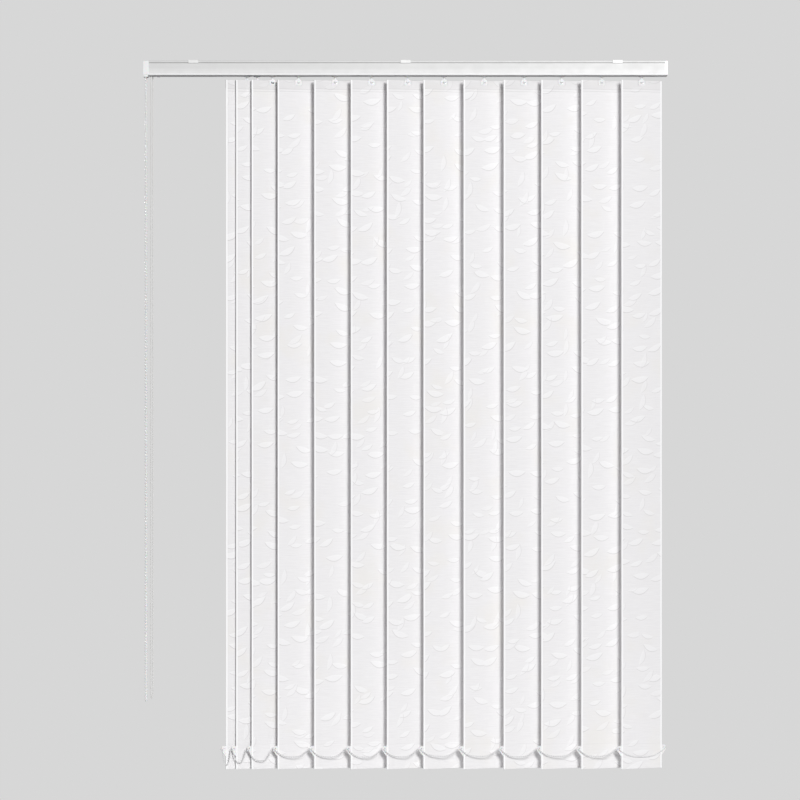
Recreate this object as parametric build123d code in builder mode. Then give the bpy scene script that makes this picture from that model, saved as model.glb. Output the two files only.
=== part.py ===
"""Vertical blind with thirteen fabric slats, part drawn, in millimetres.

+Z is up, X runs along the headrail and -Y is the room side. The origin is on the ceiling plane,
above the middle of the headrail. The slats hang from trucks that travel inside the headrail.
"""
from build123d import *
from math import cos, pi, radians, sin, tan
import os

# ---- headrail -------------------------------------------------------------------------------
overall_length = 1046.0      # headrail with both end fittings
rail_depth = 44.0
rail_height = 29.0
rail_wall = 1.3
rail_floor = 1.5             # thickness of the two tracks
rail_slot = 13.0             # gap between the tracks, where the hooks come out
track_rib = 1.5              # height of the rib along each side of the slot
track_rib_width = 1.0
lip_height = 3.5             # top lip that the brackets clip over
groove_depth = 1.6
groove_height = 2.0
face_recess = 0.6            # front face set back between the top groove and the foot
foot_height = 3.0
foot_slope = 0.6
control_cap_length = 11.0
return_cap_length = 6.0
cap_wall = 1.4

# ---- top brackets ---------------------------------------------------------------------------
bracket_inset = 100.0        # outer brackets in from the ends
bracket_width = 20.0
bracket_sheet = 1.2
bracket_gap = 0.3            # bracket to headrail, all round
bracket_hole_r = 2.25

# ---- trucks ---------------------------------------------------------------------------------
slat_gaps = [20.0, 31.0, 52.0, 73.0, 73.0, 72.0, 73.0, 80.0, 80.0, 75.0, 80.0, 80.0]
last_truck_inset = 51.0      # the truck at the stack side, in from the right end
truck_length = 15.5
wheel_wall_gap = 1.1         # wheel to the headrail's side wall
truck_top = 5.5              # top of the frame below the headrail's top
truck_rib_gap = 0.5          # frame to the ribs under it
link_pitch = 80.0            # truck spacing with a link drawn taut
link_width = 4.0
link_sheet = 0.5
link_lanes = 7               # links that lie over each other in a full stack
lane_step = 0.95
lane_top = 11.6              # top lane below the headrail's top
link_inset = 4.0             # middle of the links in from the frame's side
link_stop_width = 5.2
link_stop_length = 1.5
passage_width = 5.9
passage_play = 0.4           # above the top link and below the bottom one
wheel_r = 6.0
wheel_width = 3.6
wheel_gap = 0.4              # wheel to frame, along the axle
axle_r = 1.5
axle_end = 0.8               # axle beyond the wheel
running_gap = 0.1
lead_nose_length = 24.0      # stop bar in front of the leading truck
lead_nose_width = 7.0
lead_nose_height = 4.0

# ---- tilt drive -----------------------------------------------------------------------------
rod_y = -9.0
rod_drop = 16.5              # rod axis below the headrail's top
rod_r = 2.2
rod_flute_r = 0.6
rod_flutes = 3
rod_clear = 0.3              # rod to anything it only passes through
worm_r = 3.3
worm_length = 8.0
pinion_r = 5.4
pinion_height = 5.6
pinion_teeth = 12
tooth_gap_width = 1.2
tooth_gap_depth = 1.0
pocket_gap = 0.6             # round the pinion and the worm
sprocket_pitch_r = 9.0
sprocket_flange = 0.5
chain_d = 4.3                # ball chain that turns the tilt rod
chain_inset = 5.0            # chain in from the left end
chain_drop = 1280.0          # lowest point below the headrail's top

# ---- traverse cord --------------------------------------------------------------------------
cord_d = 2.2
cord_y = 5.0                 # the two strands run at -Y and +Y of the middle
cord_level = 9.0             # strands inside the headrail, below its top
front_strand_inset = 13.8    # strands in from the left end
rear_strand_inset = 17.4
cord_drop = 1275.0
pulley_r = 5.0               # to the middle of the cord
pulley_width = 3.6
return_pulley_inset = 18.0
pin_r = 1.2

# ---- slats ----------------------------------------------------------------------------------
slat_width = 89.0
slat_length = 1376.0
slat_gap = 9.0               # slat top below the headrail's underside
slat_tilt = 21.0             # degrees from flat, left edge towards the room
cloth = 0.45
cloth_front = -1.15          # front face of the cloth, from the middle of the hanger
top_pocket = 18.0
bottom_pocket = 50.0
seam = 1.2
notch_width = 14.0
notch_depth = 10.0
hanger_width = 74.0
hanger_height = 15.5
hanger_sheet = 1.0
ring_width = 13.0
ring_height = 11.0
ring_rise = 2.0              # ring above the slat's top edge
ring_thickness = 2.0
eye_width = 6.4
eye_height = 4.6
eye_drop = 4.7               # middle of the eye below the slat's top edge
pocket_play = 0.2            # hanger and weight inside their pockets

# ---- hooks ----------------------------------------------------------------------------------
stem_r = 2.3
collar_r = 6.0
collar_height = 1.4
collar_gap = 0.6             # collar to the underside of the headrail
neck_r = 1.5
neck_drop = 5.2              # lower end of the round neck, below the headrail's underside
hook_width = 3.4
hook_sheet = 1.3
hook_reach = 1.9             # half thickness of the hook, front to back

# ---- bottom weights and their chain ---------------------------------------------------------
weight_width = 86.0
weight_height = 46.0
weight_sheet = 1.6
ear_reach = 9.0              # ear beyond the slat's edge
ear_height = 21.0
ear_sheet = 1.2
ear_corner = 3.0
ear_hole_r = 1.2
ear_hole_reach = 4.0         # middle of the hole beyond the slat's edge
ear_hole_drop = 5.0          # below the ear's top
bead_d = 2.8                 # front chain
bead_gap = 0.3               # chain to ear
span_joint = 3.2             # between one span of chain and the next, in front of the ear
loop_joint = 0.3             # where the two ends of a loop meet
clip_r = 1.6
clip_length = 3.2
clip_set_forward = 0.5       # clear of the ear as the slat turns

# A hanging span: shares of its width and of its sag, from one ear to the next.
span_route = [(0.0, 0.0), (0.10, -0.48), (0.30, -1.00), (0.70, -1.04), (0.90, -0.50), (1.0, 0.0)]
# Sag of each span, from the leading slat on: the closer the slats, the deeper it hangs.
span_sags = [31.0, 27.0, 23.5, 16.0, 16.0, 16.5, 16.0, 15.0, 15.0, 16.0, 15.0, 15.0]
last_span_sag = 18.0

# ---- places worked out from the sizes above -------------------------------------------------
over = 1.0                   # how far solids reach into each other where they join, and cuts run out
slat_count = len(slat_gaps) + 1
rail_top = -(bracket_sheet + bracket_gap)
rail_bottom = rail_top - rail_height
inner_floor = rail_bottom + rail_floor
left_end = -overall_length / 2
right_end = overall_length / 2
rail_left = left_end + control_cap_length
rail_right = right_end - return_cap_length
inner_half_depth = rail_depth / 2 - face_recess - rail_wall
last_truck_x = right_end - last_truck_inset
truck_x = [last_truck_x - sum(slat_gaps[i:]) for i in range(slat_count)]
truck_width = 2 * (inner_half_depth - wheel_wall_gap - wheel_width - wheel_gap)
truck_bottom = rail_height - rail_floor - track_rib - truck_rib_gap
link_y = truck_width / 2 - link_inset
chain_x = left_end + chain_inset
front_strand_x = left_end + front_strand_inset
rear_strand_x = left_end + rear_strand_inset
return_pulley_x = right_end - return_pulley_inset
rod_z = rail_top - rod_drop
cord_z = rail_top - cord_level
wheel_z = inner_floor + wheel_r + running_gap
wheel_y = truck_width / 2 + wheel_gap + wheel_width / 2
slat_top = rail_bottom - slat_gap
slat_bottom = slat_top - slat_length
ear_top = slat_bottom + cloth + pocket_play + weight_height
ear_tip = slat_width / 2 + ear_reach
ear_hole_z = ear_top - ear_hole_drop
tilt_cos = cos(radians(slat_tilt))
tilt_sin = sin(radians(slat_tilt))
ear_x = -ear_tip * tilt_cos
weight_front = cloth_front + cloth + pocket_play
bead_y = -ear_tip * tilt_sin + weight_front * tilt_cos - bead_d / 2 - bead_gap
lane_z = [rail_top - lane_top - lane_step * k for k in range(link_lanes)]

os.makedirs("parts", exist_ok=True)


def write(part, name):
    part.label = name
    export_step(part, f"parts/{name}.step")


def cord_radii(points):
    """Arc radius at each inner point: 0.45 of the shorter run, over the tangent of half the turn."""
    radii = []
    for a, b, c in zip(points, points[1:], points[2:]):
        run_in = Vector(*b) - Vector(*a)
        run_out = Vector(*c) - Vector(*b)
        half_turn = radians(run_in.get_angle(run_out) / 2)
        radii.append(0.45 * min(run_in.length, run_out.length) / tan(half_turn))
    return radii


def cord_tube(name, points, radii, diameter):
    """A tube of straight runs and tangent arcs along the points, checked against its length."""
    with BuildPart() as tube:
        with BuildLine() as route:
            FilletPolyline(*points, radius=radii)
        with BuildSketch(Plane(route.wire() @ 0, z_dir=route.wire() % 0)):
            Circle(diameter / 2)
        sweep(path=route.wire())
    length = route.wire().length
    section = pi * diameter**2 / 4
    share = tube.part.volume / (section * length)
    print(f"{name}: length {length:.1f}, tightest arc {min(radii):.1f}, volume share {share:.4f}")
    write(tube.part, name)


# ---- headrail: an aluminium extrusion, open along its underside -----------------------------
half_depth = rail_depth / 2
face_y = half_depth - face_recess
groove_y = half_depth - groove_depth
groove_low = lip_height + groove_height
boss_low = groove_low + rail_wall
rail_half = [
    (0, 0),
    (half_depth, 0),
    (half_depth, -lip_height),
    (groove_y, -lip_height),
    (groove_y, -groove_low),
    (face_y, -groove_low),
    (face_y, -rail_height + foot_height + foot_slope),
    (half_depth, -rail_height + foot_height),
    (half_depth, -rail_height),
    (rail_slot / 2, -rail_height),
    (rail_slot / 2, -rail_height + rail_floor + track_rib),
    (rail_slot / 2 + track_rib_width, -rail_height + rail_floor + track_rib),
    (rail_slot / 2 + track_rib_width, -rail_height + rail_floor),
    (inner_half_depth, -rail_height + rail_floor),
    (inner_half_depth, -boss_low),
    (groove_y - rail_wall, -boss_low + rail_wall),
    (groove_y - rail_wall, -rail_wall),
    (0, -rail_wall),
]
with BuildPart() as headrail:
    with BuildSketch(Plane.YZ.offset(rail_left)):
        with BuildLine():
            Polyline(*[(y, z + rail_top) for y, z in rail_half], close=True)
        make_face()
        mirror(about=Plane.YZ)
    extrude(amount=rail_right - rail_left)
    outer_edges = headrail.edges().filter_by(Axis.X).group_by(SortBy.LENGTH)[-1]
    foot_edges = outer_edges.filter_by(lambda e: abs(e.center().Z - rail_bottom) < 0.01)
    fillet(foot_edges.filter_by(lambda e: abs(abs(e.center().Y) - half_depth) < 0.01), 1.2)
    lip_edges = headrail.edges().filter_by(Axis.X).filter_by(lambda e: abs(e.center().Z - rail_top) < 0.01)
    fillet(lip_edges.filter_by(lambda e: abs(abs(e.center().Y) - half_depth) < 0.01), 0.8)
write(headrail.part, "headrail")

# ---- top brackets: spring clips over both top lips, one screw hole each ---------------------
clip_inner = half_depth + bracket_gap
clip_outer = clip_inner + bracket_sheet
tongue_top = rail_top - lip_height - bracket_gap
tongue_height = groove_height - 2 * bracket_gap
with BuildPart() as bracket:
    with BuildSketch(Plane.YZ.offset(-bracket_width / 2)):
        with BuildLine():
            Polyline(
                (0, 0),
                (clip_outer, 0),
                (clip_outer, tongue_top - tongue_height),
                (groove_y + bracket_gap, tongue_top - tongue_height),
                (groove_y + bracket_gap, tongue_top),
                (clip_inner, tongue_top),
                (clip_inner, -bracket_sheet),
                (0, -bracket_sheet),
                close=True,
            )
        make_face()
        mirror(about=Plane.YZ)
    extrude(amount=bracket_width)
    nose_edges = bracket.edges().filter_by(Axis.X).filter_by(lambda e: abs(e.center().Z) < 0.01)
    fillet(nose_edges.filter_by(lambda e: abs(abs(e.center().Y) - clip_outer) < 0.01), 1.0)
    with Locations((0, 0, -bracket_sheet / 2)):
        Cylinder(bracket_hole_r, 2 * bracket_sheet, mode=Mode.SUBTRACT)
with BuildPart() as top_brackets:
    with GridLocations(overall_length / 2 - bracket_inset, 0, 3, 1):
        add(bracket.part)
write(top_brackets.part, "top_brackets")


# ---- end fittings ---------------------------------------------------------------------------
def pulley(radius):
    """A grooved pulley about the local Z axis, with its bore clear of the pin."""
    groove_r = radius - cord_d / 2 - running_gap
    flange_r = radius + cord_d / 2 - running_gap
    half = pulley_width / 2
    groove_half = cord_d / 2 + running_gap
    with BuildPart() as wheel:
        with BuildSketch(Plane.XZ):
            with BuildLine():
                Polyline(
                    (pin_r + running_gap, -half),
                    (flange_r, -half),
                    (flange_r, -groove_half),
                    (groove_r, -groove_half),
                    (groove_r, groove_half),
                    (flange_r, groove_half),
                    (flange_r, half),
                    (pin_r + running_gap, half),
                    close=True,
                )
            make_face()
        revolve(axis=Axis.Z)
    return wheel.part


insert_drop = 3.5            # insert below the headrail's top
insert_top = rail_top - insert_drop
insert_bottom = rail_top - truck_bottom
cheek = 1.0
insert_length = 22.0
insert_right = rail_left + insert_length
stop_length = 3.0
strand_play = 0.4            # cheek to pulley
inner_cheek = cord_y - pulley_width / 2 - strand_play
outer_cheek = cord_y + pulley_width / 2 + strand_play
front_pulley_x = front_strand_x + pulley_r
rear_pulley_x = rear_strand_x + pulley_r
pulley_z = cord_z - pulley_r
bulkhead = 1.6
guide_height = 3.4
guide_length = 9.0
guide_wall = 1.2
chain_play = 0.6
chain_slot_width = chain_d + 2 * chain_play
chain_slot_depth = 2 * sprocket_pitch_r + chain_d + 2 * chain_play
nub_inset = 29.5
nub_length = 5.0
nub_width = 6.0
nub_drop = 2.6
nub_top = insert_bottom + over
nub_bottom = rail_bottom - nub_drop
with BuildPart() as control_end_housing:
    cap_centre = (left_end + control_cap_length / 2, 0, (rail_top + rail_bottom) / 2)
    with Locations(cap_centre):
        Box(control_cap_length, rail_depth, rail_height)
    fillet(control_end_housing.edges().filter_by(Axis.X), 1.5)
    with Locations((left_end + cap_wall + control_cap_length / 2, 0, cap_centre[2])):
        Box(control_cap_length, rail_depth - 2 * cap_wall, rail_height - 2 * cap_wall, mode=Mode.SUBTRACT)
    with Locations((rail_left - bulkhead / 2, 0, cap_centre[2])):
        Box(bulkhead, rail_depth - cap_wall, rail_height - cap_wall)
    with Locations((chain_x, rod_y, rail_bottom - guide_height / 2)):
        Box(guide_length, chain_slot_depth + 2 * guide_wall, guide_height)
    with Locations((chain_x, rod_y, rail_bottom - guide_height / 2 + cap_wall)):
        Box(chain_slot_width, chain_slot_depth, guide_height + 3 * cap_wall, mode=Mode.SUBTRACT)
    for cheek_y, cheek_width in (
        (-outer_cheek - cheek / 2, cheek),
        (0, 2 * inner_cheek),
        (outer_cheek + cheek / 2, cheek),
    ):
        with Locations((rail_left + (insert_length - over) / 2, cheek_y, (insert_top + insert_bottom) / 2)):
            Box(insert_length + over, cheek_width, insert_top - insert_bottom)
    stop_top = cord_z - pulley_r - cord_d
    with Locations((insert_right - stop_length / 2, 0, (stop_top + insert_bottom) / 2)):
        Box(stop_length, 2 * (outer_cheek + cheek), stop_top - insert_bottom)
    with Locations((left_end + nub_inset, 0, (nub_top + nub_bottom) / 2)):
        Box(nub_length, nub_width, nub_top - nub_bottom)
    with Locations(Location((front_pulley_x, -cord_y, pulley_z), (90, 0, 0))):
        Cylinder(pin_r, pulley_width + 2 * strand_play + over)
    with Locations(Location((rear_pulley_x, cord_y, pulley_z), (90, 0, 0))):
        Cylinder(pin_r, pulley_width + 2 * strand_play + over)
    with Locations(Location((rail_left - bulkhead, rod_y, rod_z), (0, 90, 0))):
        Cylinder(rod_r + running_gap, 4 * bulkhead, mode=Mode.SUBTRACT)
    with Locations(Location((rail_left + insert_length, rod_y, rod_z), (0, 90, 0))):
        Cylinder(rod_r + rod_clear, 2 * insert_length, mode=Mode.SUBTRACT)
    with Locations(Location((front_pulley_x, -cord_y, pulley_z), (90, 0, 0))):
        add(pulley(pulley_r))
    with Locations(Location((rear_pulley_x, cord_y, pulley_z), (90, 0, 0))):
        add(pulley(pulley_r))
write(control_end_housing.part, "control_end_housing")

return_insert_left = return_pulley_x - pulley_r - cord_d - 1.5
pulley_bay = pulley_width + 2 * strand_play
bay_left = return_insert_left - over
bay_right = rail_right - over
insert_side_gap = 3.0
with BuildPart() as return_end_cap:
    with Locations((rail_right + return_cap_length / 2, 0, (rail_top + rail_bottom) / 2)):
        Box(return_cap_length, rail_depth, rail_height)
    fillet(return_end_cap.edges().filter_by(Axis.X), 1.5)
    insert_size = rail_right - return_insert_left
    with Locations((return_insert_left + (insert_size + over) / 2, 0, (insert_top + insert_bottom) / 2)):
        Box(insert_size + over, 2 * (inner_half_depth - insert_side_gap), insert_top - insert_bottom)
    with Locations(((bay_left + bay_right) / 2, 0, cord_z)):
        Box(bay_right - bay_left, 2 * (cord_y + cord_d + over), pulley_bay, mode=Mode.SUBTRACT)
    with Locations((return_pulley_x, 0, cord_z)):
        Cylinder(pin_r, pulley_bay + over)
    with Locations(Location((return_insert_left, rod_y, rod_z), (0, 90, 0))):
        Cylinder(rod_r + running_gap, 2 * (insert_size - 2), mode=Mode.SUBTRACT)
    with Locations((return_pulley_x, 0, cord_z)):
        add(pulley(pulley_r))
write(return_end_cap.part, "return_end_cap")

# ---- tilt drive: fluted rod with its chain sprocket -----------------------------------------
rod_left = chain_x - 2.6
rod_right = rail_right - 3.5
sprocket_core_r = sprocket_pitch_r - chain_d / 2 - running_gap
sprocket_flange_r = sprocket_pitch_r + 1.0
sprocket_width = chain_d + 2 * running_gap + 2 * sprocket_flange
with BuildPart() as tilt_drive:
    with BuildSketch(Plane.YZ.offset(rod_left)):
        with Locations((rod_y, rod_z)):
            Circle(rod_r)
            with PolarLocations(rod_r, rod_flutes):
                Circle(rod_flute_r, mode=Mode.SUBTRACT)
    extrude(amount=rod_right - rod_left)
    with BuildSketch(Plane.YZ.offset(chain_x - sprocket_width / 2)):
        with Locations((rod_y, rod_z)):
            Circle(sprocket_flange_r)
            Circle(rod_r + 0.02, mode=Mode.SUBTRACT)
    extrude(amount=sprocket_width)
    with BuildSketch(Plane.YZ.offset(chain_x - chain_d / 2 - running_gap)):
        with Locations((rod_y, rod_z)):
            Circle(sprocket_flange_r + over)
            Circle(sprocket_core_r, mode=Mode.SUBTRACT)
    extrude(amount=chain_d + 2 * running_gap, mode=Mode.SUBTRACT)
write(tilt_drive.part, "tilt_drive")

# ---- trucks ---------------------------------------------------------------------------------
truck_height = truck_bottom - truck_top
frame_middle_z = rail_top - (truck_top + truck_bottom) / 2
pocket_floor = rod_z - pinion_height / 2 - pocket_gap
cut_top = rail_top - truck_top + over
worm_bay = worm_length + 2 * pocket_gap
passage_top = lane_z[0] + link_sheet / 2 + passage_play
passage_bottom = lane_z[-1] - link_sheet / 2 - passage_play
axle_length = wheel_gap + wheel_width + axle_end
with BuildPart() as truck_frame:
    with Locations((0, 0, frame_middle_z)):
        Box(truck_length, truck_width, truck_height)
    fillet(truck_frame.edges().filter_by(Axis.Z), 1.0)
    with Locations((0, 0, (pocket_floor + cut_top) / 2)):
        Cylinder(pinion_r + pocket_gap, cut_top - pocket_floor, mode=Mode.SUBTRACT)
    with Locations((0, 0, rail_top - truck_bottom)):
        Cylinder(stem_r + 0.3, 2 * truck_height / 3, mode=Mode.SUBTRACT)
    with Locations((0, rod_y, (rod_z + cut_top) / 2)):
        Box(worm_bay, 2 * (worm_r + pocket_gap), cut_top - rod_z, mode=Mode.SUBTRACT)
    with Locations(Location((0, rod_y, rod_z), (0, 90, 0))):
        Cylinder(worm_r + pocket_gap, worm_bay, mode=Mode.SUBTRACT)
        Cylinder(rod_r + rod_clear, truck_length + 2, mode=Mode.SUBTRACT)
    for strand_y in (-cord_y, cord_y):
        with Locations(Location((0, strand_y, cord_z), (0, 90, 0))):
            Cylinder(cord_d / 2 + 0.4, truck_length + 2, mode=Mode.SUBTRACT)
    with Locations((0, link_y, (passage_top + passage_bottom) / 2)):
        Box(truck_length + 2, passage_width, passage_top - passage_bottom, mode=Mode.SUBTRACT)
    for side in (-1, 1):
        axle_y = side * (truck_width + axle_length - over) / 2
        with Locations(Location((0, axle_y, wheel_z), (90, 0, 0))):
            Cylinder(axle_r, axle_length + over)

with BuildPart() as truck_wheel:
    Cylinder(wheel_r, wheel_width)
    chamfer(truck_wheel.edges(), 0.4)
    Cylinder(axle_r + running_gap, wheel_width + over, mode=Mode.SUBTRACT)

with BuildPart() as worm:
    Cylinder(worm_r, worm_length)
    chamfer(worm.edges(), 0.5)
    Cylinder(rod_r + running_gap, worm_length + over, mode=Mode.SUBTRACT)

link_stop_x = truck_length / 2 + 0.2 + link_stop_length / 2
for number in range(1, slat_count + 1):
    x = truck_x[number - 1]
    lane = lane_z[number % link_lanes]
    stop_lane = lane_z[(number + 1) % link_lanes]
    with BuildPart() as truck:
        with Locations((x, 0, 0)):
            add(truck_frame.part)
        # ledges that narrow the passage for the next truck's link, so that its stop catches here
        if number < slat_count:
            ledge = (passage_width - link_width) / 2 - 0.3
            for side in (-1, 1):
                ledge_y = link_y + side * (passage_width / 2 - ledge / 2 + 0.1)
                with Locations((x, ledge_y, stop_lane)):
                    Box(truck_length, ledge + 0.2, link_sheet)
        if number == 1:
            nose_x = x - truck_length / 2 - lead_nose_length / 2
            with Locations((nose_x + over / 2, 0, stop_top - lead_nose_height)):
                Box(lead_nose_length + over, lead_nose_width, lead_nose_height)
        for side in (-1, 1):
            with Locations(Location((x, side * wheel_y, wheel_z), (90, 0, 0))):
                add(truck_wheel.part)
        with Locations(Location((x, rod_y, rod_z), (0, 90, 0))):
            add(worm.part)
        if number > 1:
            # the link is moulded to this truck's passage and runs to the next truck on the left
            link_right = x + truck_length / 2
            link_left = x - link_pitch - link_stop_x + link_stop_length / 2
            with Locations(((link_left + link_right) / 2, link_y, lane)):
                Box(link_right - link_left, link_width, link_sheet)
            with Locations((x - link_pitch - link_stop_x, link_y, lane)):
                Box(link_stop_length, link_stop_width, link_sheet)
            root_play = (passage_width - link_width) / 2
            for side in (-1, 1):
                root_y = link_y + side * (passage_width / 2 - root_play / 2)
                with Locations((x, root_y, lane)):
                    Box(truck_length / 2, root_play + 0.2, link_sheet)
    write(truck.part, f"truck_{number:02d}")

# ---- slat: one strip of cloth, folded back and welded into a pocket at each end -------------
top_gap = hanger_sheet + 2 * pocket_play
bottom_gap = weight_sheet + 2 * pocket_play


def pocket(fold_z, seam_z, gap):
    """Section of a pocket behind the front cloth: the fold, the back layer and the welded seam."""
    back = cloth_front + cloth + gap
    low, high = sorted((fold_z, seam_z))
    fold_low = fold_z if fold_z == low else fold_z - cloth
    seam_low = seam_z if seam_z == low else seam_z - seam
    with Locations((back + cloth / 2, (low + high) / 2)):
        Rectangle(cloth, high - low)
    with Locations(((cloth_front + back + cloth) / 2, fold_low + cloth / 2)):
        Rectangle(back + cloth - cloth_front, cloth)
    with Locations(((cloth_front + back + cloth) / 2, seam_low + seam / 2)):
        Rectangle(back + cloth - cloth_front, seam)


with BuildPart() as slat_form:
    with BuildSketch(Plane.YZ.offset(-slat_width / 2)):
        with Locations((cloth_front + cloth / 2, (slat_top + slat_bottom) / 2)):
            Rectangle(cloth, slat_length)
        pocket(slat_top, slat_top - top_pocket, top_gap)
        pocket(slat_bottom, slat_bottom + bottom_pocket, bottom_gap)
    extrude(amount=slat_width)
    with BuildSketch(Plane.XZ.offset(-5)):
        with Locations((0, slat_top)):
            RectangleRounded(notch_width, 2 * notch_depth, 3.0)
    extrude(amount=10, mode=Mode.SUBTRACT)

# ---- hook and pinion, hanger, and bottom weight: the hard pieces of one slat ----------------
ring_middle = slat_top + ring_rise - ring_height / 2
hanger_top = slat_top - cloth - pocket_play
eye_z = slat_top - eye_drop
bar_top = eye_z + eye_height / 2 - 0.2
collar_top = rail_bottom - collar_gap
shoulder_z = rail_bottom - neck_drop
weight_low = slat_bottom + cloth + pocket_play
with BuildPart() as fittings_form:
    with Locations((0, 0, rod_z)):
        Cylinder(pinion_r, pinion_height)
    with BuildSketch(Plane.XY.offset(rod_z - pinion_height / 2)):
        with PolarLocations(pinion_r, pinion_teeth):
            Rectangle(2 * tooth_gap_depth, tooth_gap_width)
    extrude(amount=pinion_height, mode=Mode.SUBTRACT)
    with Locations((0, 0, (rod_z + collar_top) / 2)):
        Cylinder(stem_r, rod_z - collar_top)
    with Locations((0, 0, collar_top - collar_height / 2)):
        Cylinder(collar_r, collar_height)
    with Locations((0, 0, collar_top - 1.5 * collar_height)):
        Cone(neck_r, collar_r / 2, collar_height)
    with Locations((0, 0, (collar_top + shoulder_z) / 2)):
        Cylinder(neck_r, collar_top - shoulder_z)
    with BuildSketch(Plane.YZ.offset(-hook_width / 2)):
        with BuildLine():
            Polyline(
                (-hook_reach, shoulder_z),
                (neck_r, shoulder_z),
                (neck_r, shoulder_z - hook_sheet),
                (-hook_reach + hook_sheet / 2, shoulder_z - hook_sheet),
                (-hook_reach + hook_sheet / 2, bar_top),
                (hook_reach - hook_sheet / 2, bar_top),
                (hook_reach - hook_sheet / 2, bar_top + 1.8),
                (hook_reach, bar_top + 1.8),
                (hook_reach, bar_top - hook_sheet),
                (-hook_reach, bar_top - hook_sheet),
                close=True,
            )
        make_face()
    extrude(amount=hook_width)
    # hanger plate in the top pocket, with its ring standing up through the notch
    with BuildSketch(Plane.XZ.offset(-hanger_sheet / 2)):
        with Locations((0, hanger_top - hanger_height / 2)):
            RectangleRounded(hanger_width, hanger_height, 2.0)
        with Locations((0, ring_middle)):
            RectangleRounded(ring_width, ring_height, 4.5)
        with Locations((0, eye_z)):
            RectangleRounded(eye_width, eye_height, 1.8, mode=Mode.SUBTRACT)
    extrude(amount=hanger_sheet)
    with BuildSketch(Plane.XZ.offset(-ring_thickness / 2)):
        with Locations((0, ring_middle)):
            RectangleRounded(ring_width, ring_height, 4.5)
        with Locations((0, eye_z)):
            RectangleRounded(eye_width, eye_height, 1.8, mode=Mode.SUBTRACT)
    extrude(amount=ring_thickness)
    # bottom weight, with an ear beyond each edge of the slat for the chain
    with Locations((0, weight_front + weight_sheet / 2, weight_low + weight_height / 2)):
        Box(weight_width, weight_sheet, weight_height)
    for side in (-1, 1):
        with BuildSketch(Plane.XZ.offset(-weight_front - ear_sheet)):
            with BuildLine():
                Polyline(
                    (side * (weight_width / 2 - over), ear_top),
                    (side * (ear_tip - ear_corner), ear_top),
                    (side * ear_tip, ear_top - ear_corner),
                    (side * ear_tip, ear_top - ear_height + ear_reach + 3),
                    (side * (slat_width / 2), ear_top - ear_height),
                    (side * (weight_width / 2 - over), ear_top - ear_height),
                    close=True,
                )
            make_face()
            with Locations((side * (slat_width / 2 + ear_hole_reach), ear_hole_z)):
                Circle(ear_hole_r, mode=Mode.SUBTRACT)
        extrude(amount=ear_sheet)

for number in range(1, slat_count + 1):
    with BuildPart() as slat:
        with Locations(Location((truck_x[number - 1], 0, 0), (0, 0, slat_tilt))):
            add(slat_form.part)
    write(slat.part, f"slat_{number:02d}")
    with BuildPart() as hook_and_weight:
        with Locations(Location((truck_x[number - 1], 0, 0), (0, 0, slat_tilt))):
            add(fittings_form.part)
    write(hook_and_weight.part, f"hook_and_weight_{number:02d}")

# ---- front chain: one span from each slat's ear to the next, and one across the last slat ---
for number in range(1, slat_count):
    start_x = truck_x[number - 1] + ear_x + span_joint / 2
    width = truck_x[number] - truck_x[number - 1] - span_joint
    sag = span_sags[number - 1]
    points = [(start_x + share * width, bead_y, ear_hole_z + drop * sag) for share, drop in span_route]
    cord_tube(f"chain_span_{number:02d}", points, cord_radii(points), bead_d)

last_plane = Plane((last_truck_x, 0, 0), x_dir=(tilt_cos, tilt_sin, 0), z_dir=(0, 0, 1))
last_n = cloth_front - bead_d / 2 - bead_gap
last_start = -ear_tip + 1.0
points = []
for share, drop in span_route:
    local = Vector(last_start - 2 * share * last_start, last_n, ear_hole_z + drop * last_span_sag)
    point = last_plane.from_local_coords(local)
    points.append((point.X, point.Y, point.Z))
cord_tube(f"chain_span_{slat_count:02d}", points, cord_radii(points), bead_d)

with BuildPart() as chain_end_clip:
    clip_x = truck_x[0] + ear_x - clip_length / 2
    with Locations(Location((clip_x, bead_y - clip_set_forward, ear_hole_z), (0, 90, 0))):
        Cylinder(clip_r, clip_length)
    fillet(chain_end_clip.edges(), 0.6)
write(chain_end_clip.part, "chain_end_clip")

# ---- tilt chain: over the sprocket, down to the room's height and back ----------------------
chain_front = rod_y - sprocket_pitch_r
chain_rear = rod_y + sprocket_pitch_r
chain_top = rod_z + sprocket_pitch_r
chain_bottom = rail_top - chain_drop + chain_d / 2
chain_points = [
    (chain_x, rod_y - loop_joint / 2, chain_top),
    (chain_x, chain_front, chain_top),
    (chain_x, chain_front, chain_bottom + 60),
    (chain_x, chain_front - 2, chain_bottom + 14),
    (chain_x, chain_front + 3, chain_bottom),
    (chain_x, chain_rear - 3, chain_bottom),
    (chain_x, chain_rear + 2, chain_bottom + 14),
    (chain_x, chain_rear, chain_bottom + 60),
    (chain_x, chain_rear, chain_top),
    (chain_x, rod_y + loop_joint / 2, chain_top),
]
over_sprocket = sprocket_pitch_r - loop_joint
chain_radii = [over_sprocket] + cord_radii(chain_points[1:-1]) + [over_sprocket]
cord_tube("tilt_chain", chain_points, chain_radii, chain_d)

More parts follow.
